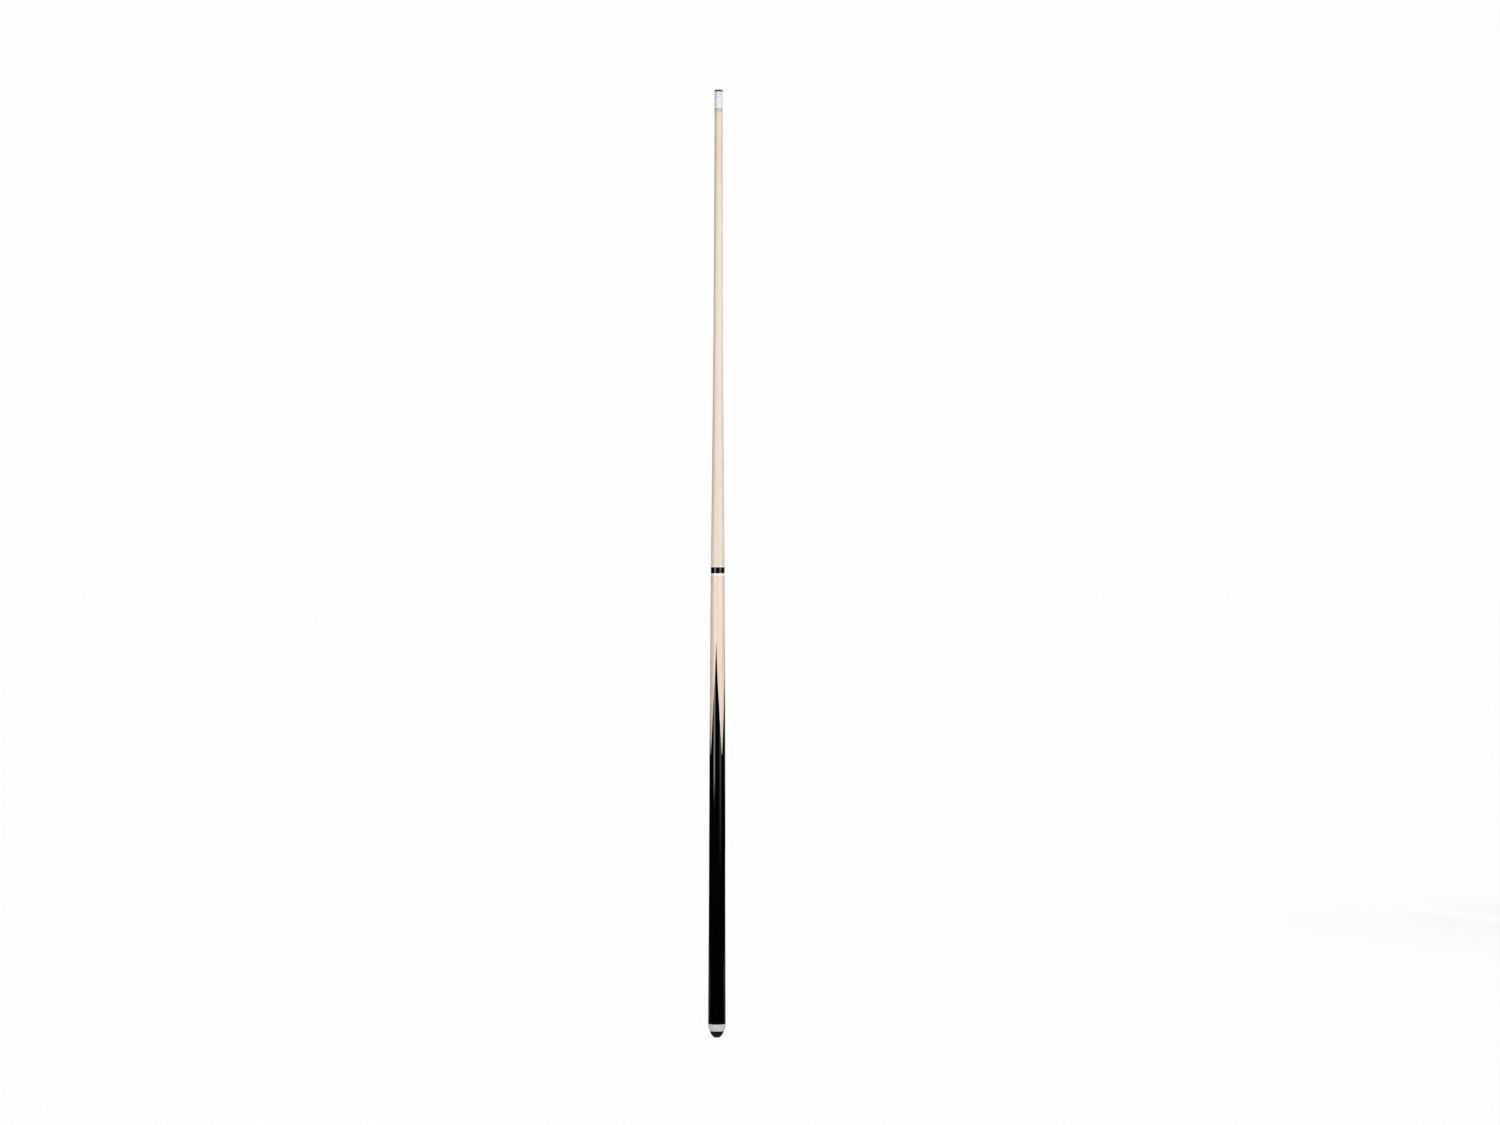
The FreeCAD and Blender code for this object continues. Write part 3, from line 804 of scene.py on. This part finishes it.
bumperShape = {
    "foot": 0.0044, "footEdge": 0.0005,
    "domeBulge": 0.00107, "domeSteps": 16,
    "shoulder": 0.0007, "shoulderEdge": 0.0005, "seat": 0.010, "seatEdge": 0.00015,
    "stem": 0.0052, "rib": 0.00638, "ribHeight": 0.0016, "ribPitch": 0.004, "ribs": 3,
}


def makeBumper():
    low, high = heightsOf("bumper")
    seat = low + bumperShape["seat"]
    radius = radiusOf("bumper")
    foot = (bumperShape["foot"], low)
    rim = (radius, seat - bumperShape["shoulder"])
    outline = [(0, low), foot]
    outline += arc(foot, rim, bumperShape["domeBulge"], bumperShape["domeSteps"])
    outline += [rim, (radius, seat), (bumperShape["stem"], seat)]
    for rib in range(bumperShape["ribs"]):
        base = seat + bumperShape["ribPitch"] * rib + bumperShape["ribHeight"]
        outline += [(bumperShape["stem"], base), (bumperShape["rib"], base)]
        outline.append((bumperShape["stem"], base + bumperShape["ribHeight"]))
    outline += [(bumperShape["stem"], high), (0, high)]
    rounding = {
        outline.index(foot): bumperShape["footEdge"],
        outline.index(rim): bumperShape["shoulderEdge"],
        outline.index((radius, seat)): bumperShape["seatEdge"],
    }
    piece = lathe("rubberBumper", outline, rounding)
    finishPiece(piece, rubberFinish(low), "bumper", "bumper")


buttShading = {
    "rim": 0.0101,       # everything farther from the axis than this is the turned outside
    "slope": 0.0045,     # its mean taper
    "agreement": 0.97,   # how radial a face must be to count as part of a bore or tenon
    "upright": 0.5,      # how level a side's normal is at least
    "nearAxis": 1e-6,
}


def turnedNormals(face, places):
    # the true normals of a turned surface at a face's corners, or the face's own where it is cut flat
    flat = Vector((face.normal.x, face.normal.y))
    radials = [Vector((place.x, place.y)) for place in places]
    nearest = min(radial.length for radial in radials)
    if nearest > buttShading["rim"] and abs(face.normal.z) < buttShading["upright"]:
        return [Vector((*radial.normalized(), buttShading["slope"])).normalized() for radial in radials]
    if flat.length < buttShading["upright"] or nearest < buttShading["nearAxis"]:
        return [face.normal] * len(places)
    agreements = [radial.normalized().dot(flat) / flat.length for radial in radials]
    if min(abs(agreement) for agreement in agreements) < buttShading["agreement"]:
        return [face.normal] * len(places)
    return [
        Vector((*(radial.normalized() * math.copysign(flat.length, agreement)), face.normal.z))
        for radial, agreement in zip(radials, agreements)
    ]


def smoothTurned(data):
    # highlights then run straight past the splice instead of bending at its long thin faces
    normals = [None] * len(data.loops)
    for face in data.polygons:
        face.use_smooth = True
        found = turnedNormals(face, [data.vertices[vertex].co for vertex in face.vertices])
        for loop, normal in zip(face.loop_indices, found):
            normals[loop] = normal
    data.normals_split_custom_set(normals)


def makeButt():
    for name, node, finish, slot in (
        ("blackHandle", "handle", handleStain, "black_wood"),
        ("mapleForearm", "forearm", forearmMaple, "forearm_maple"),
    ):
        mesh = bmesh.new()
        mesh.from_mesh(nodes[node].data)
        mesh.transform(nodes[node].matrix_world)
        mergeDoubles(mesh)
        data = meshData(name, mesh)
        smoothTurned(data)
        finishPiece(addPiece(name, data), finish, "butt", node)


makeTip()
makeFerrule()
makeShaft()
makeCollars()
makeButtCap()
makeBumper()
makeButt()
for node, finish in (("joint_insert", insertBrass), ("joint_pin", pinSteel), ("weight_bolt", boltSteel)):
    nodes[node].data.materials.clear()
    nodes[node].data.materials.append(finish.material)
print("pieces made")


unlit = {"Base Color": (0, 0, 0, 1), "Specular IOR Level": 0.0}    # shows nothing but its own glow

studio = {
    "white": 0.99,           # how bright the floor and the backdrop look
    "floorTone": 0.86,
    "shadowShare": 0.10,     # how much of the floor's light the cue can shade
    "lampSpread": 50,        # degrees, wide so that the shade is soft
    "floorRadius": 60.0,
    "bounceRadius": 3.0,     # the part of the floor that lights the cue
    "discSteps": 96,
    "camera": (0.0493, -4.668, 0.7255),
    "roll": -0.11,           # degrees, for the cue's slight lean in the view
    "lens": 73.3,
    "sensor": 36.0,
}


def makeDisc(name, inner, outer, material, height=0.0):
    mesh = bmesh.new()
    if inner:
        rim = mesh.edges.new((mesh.verts.new((inner, 0, 0)), mesh.verts.new((outer, 0, 0))))
        bmesh.ops.spin(
            mesh, geom=list(rim.verts) + [rim], axis=(0, 0, 1), cent=(0, 0, 0),
            angle=math.tau, steps=studio["discSteps"], use_merge=True,
        )
    else:
        bmesh.ops.create_circle(mesh, cap_ends=True, segments=studio["discSteps"], radius=outer)
    for face in mesh.faces:
        face.normal_update()
        if face.normal.z < 0:
            face.normal_flip()
    bmesh.ops.translate(mesh, vec=(0, 0, height), verts=mesh.verts)
    disc = addPiece(name, meshData(name, mesh))
    disc.data.materials.append(material)
    return disc


def makeSheet(name, material, corners):
    mesh = bmesh.new()
    mesh.faces.new([mesh.verts.new(corner) for corner in corners])
    sheet = addPiece(name, meshData(name, mesh))
    sheet.data.materials.append(material)
    return sheet


def makeLamp(name, kind, brightness):
    lamp = bpy.data.lights.new(name, kind)
    lamp.energy = brightness
    light = bpy.data.objects.new(name, lamp)
    scene.collection.objects.link(light)
    return light


def makeCollection(name, things):
    group = bpy.data.collections.new(name)
    for thing in things:
        group.objects.link(thing)
    return group


def makeFloor():
    tone = studio["floorTone"]
    matt = {"Base Color": (tone, tone, tone, 1), "Roughness": 1.0, "Specular IOR Level": 0.0}
    finish = Finish("studioFloor", matt)
    near = makeDisc("floorNear", 0, studio["bounceRadius"], finish.material)
    far = makeDisc("floorFar", studio["bounceRadius"], studio["floorRadius"], finish.material)
    near.visible_glossy = False
    far.visible_glossy = False
    far.visible_diffuse = False
    # even lamps light the floor alone, so it stays plain from the foot to the horizon
    floors = makeCollection("floors", (near, far))
    unshaded = makeCollection("unshaded", (far,))
    full = math.pi * studio["white"] / tone
    for name, share, blockers in (
        ("floorLight", 1 - studio["shadowShare"], unshaded), ("floorShade", studio["shadowShare"], None),
    ):
        light = makeLamp(name, "SUN", full * share)
        light.data.angle = math.radians(studio["lampSpread"])
        light.light_linking.receiver_collection = floors
        if blockers:
            light.light_linking.blocker_collection = blockers


def makeBackdrop():
    world = bpy.data.worlds.new("backdrop")
    world.use_nodes = True
    white = studio["white"]
    world.node_tree.nodes["Background"].inputs["Color"].default_value = (white, white, white, 1)
    scene.world = world
    world.cycles_visibility.diffuse = False
    world.cycles_visibility.glossy = False


# big pale cards that give the cue its long streaks of shine
cards = (
    # name, degrees round from the front (right is positive), distance, width, bottom, top,
    # how far the bottom fades upwards, how far each side fades inwards, brightness
    ("leftCard", -44.5, 2.2, 0.92, 0.205, 1.7, 0.07, 0.08, 4.5),
    ("rightCard", 47, 2.2, 1.55, 0.0, 1.7, 0.74, 0.55, 3.2),
    ("rearCard", 126, 2.2, 1.1, 0.205, 1.5, 0.07, 0.20, 0.25),
)


def makeCard(name, degrees, distance, width, bottom, top, rise, edge, brightness, subject):
    angle = math.radians(degrees)
    out = Vector((math.sin(angle), -math.cos(angle), 0))
    side = Vector((math.cos(angle), math.sin(angle), 0))
    finish = Finish(name, {**unlit, "Emission Strength": brightness})
    sockets = {0: finish.place, 1: side}
    across = finish.add("VectorMath", {"operation": "DOT_PRODUCT"}, sockets, output="Value")
    inset = width / 2 - finish.size(across)
    glow = finish.step(inset, 0.0, edge) * finish.step(finish.z, bottom, bottom + rise)
    finish.feed(glow=finish.mix(glow, (0, 0, 0), (1, 1, 1)))
    card = makeSheet(name, finish.material, [
        out * distance + side * width / 2 * way + Vector((0, 0, height))
        for way, height in ((-1, bottom), (1, bottom), (1, top), (-1, top))
    ])
    card.visible_camera = False
    card.visible_shadow = False
    card.light_linking.receiver_collection = subject


softboxes = (
    # name, degrees round from the front, degrees up, distance, size, brightness
    ("softRight", 36, 42, 3.2, 1.7, 6.6),
    ("softLeft", -60, 42, 3.2, 1.2, 1.3),
    ("softBack", 170, 40, 3.2, 1.8, 6.0),
)


def makeSoftbox(name, degrees, rise, distance, size, brightness, subject):
    light = makeLamp(name, "AREA", brightness * math.pi * size * size)
    light.data.shape = "SQUARE"
    light.data.size = size
    turn, lift = math.radians(degrees), math.radians(rise)
    aim = Vector((0, 0, studio["camera"][2]))
    away = Vector((math.sin(turn) * math.cos(lift), -math.cos(turn) * math.cos(lift), math.sin(lift)))
    light.location = aim + away * distance
    light.rotation_euler = (-away).to_track_quat("-Z", "Y").to_euler()
    light.visible_camera = False
    light.light_linking.receiver_collection = subject


sheen = {
    "footFade": (0.02, 0.2),        # how far from the axis the foot's patch fades out
    "footHeight": 0.0003,
    "sweepWidth": 1.7,
    "sweepLength": 3.0,
    "sweepHeight": 0.0006,
    "sweepFade": (0.35, 0.8),       # sideways, as a share of the way back
    "sweepStart": 0.12,             # the way back over which it begins
    "sweepMiddle": 0.75,            # how much brighter its middle is than its sides
    "sweepSide": 0.24,
}


def glossOnly(sheet):
    # seen in the cue's gloss and nowhere else
    sheet.visible_camera = False
    sheet.visible_diffuse = False
    sheet.visible_shadow = False


def makeSheen():
    # the white of the floor round the foot, and of the sweep behind it, as the gloss shows them
    lit = {**unlit, "Emission Strength": 1.0}
    foot = Finish("footSheen", lit)
    reach = (foot.x * foot.x + foot.y * foot.y) ** 0.5
    glow = 1.0 - foot.step(reach, *sheen["footFade"])
    foot.feed(glow=foot.mix(glow, (0, 0, 0), (1, 1, 1)))
    glossOnly(makeDisc("footSheen", 0, sheen["footFade"][1], foot.material, sheen["footHeight"]))
    sweep = Finish("sweepSheen", lit)
    aside = sweep.size(sweep.x) / sweep.y
    middle = (1.0 - sweep.step(aside, *sheen["sweepFade"])) * sheen["sweepMiddle"]
    glow = (middle + sheen["sweepSide"]) * sweep.step(sweep.y, 0.0, sheen["sweepStart"])
    sweep.feed(glow=sweep.mix(glow, (0, 0, 0), (1, 1, 1)))
    half, length, height = sheen["sweepWidth"] / 2, sheen["sweepLength"], sheen["sweepHeight"]
    glossOnly(makeSheet("sweepSheen", sweep.material, [
        (-half, 0, height), (half, 0, height), (half, length, height), (-half, length, height),
    ]))


def makeCamera():
    lens = bpy.data.cameras.new("studioCamera")
    lens.lens = studio["lens"]
    lens.sensor_width = studio["sensor"]
    camera = bpy.data.objects.new("studioCamera", lens)
    camera.location = studio["camera"]
    camera.rotation_euler = (math.radians(90), math.radians(studio["roll"]), 0)
    scene.collection.objects.link(camera)
    scene.camera = camera


subject = makeCollection("subject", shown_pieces())
makeFloor()
makeBackdrop()
makeSheen()
for card in cards:
    makeCard(*card, subject)
for softbox in softboxes:
    makeSoftbox(*softbox, subject)
makeCamera()
scene.view_settings.view_transform = "Standard"
scene.view_settings.look = "None"
print("stage, light and camera made")
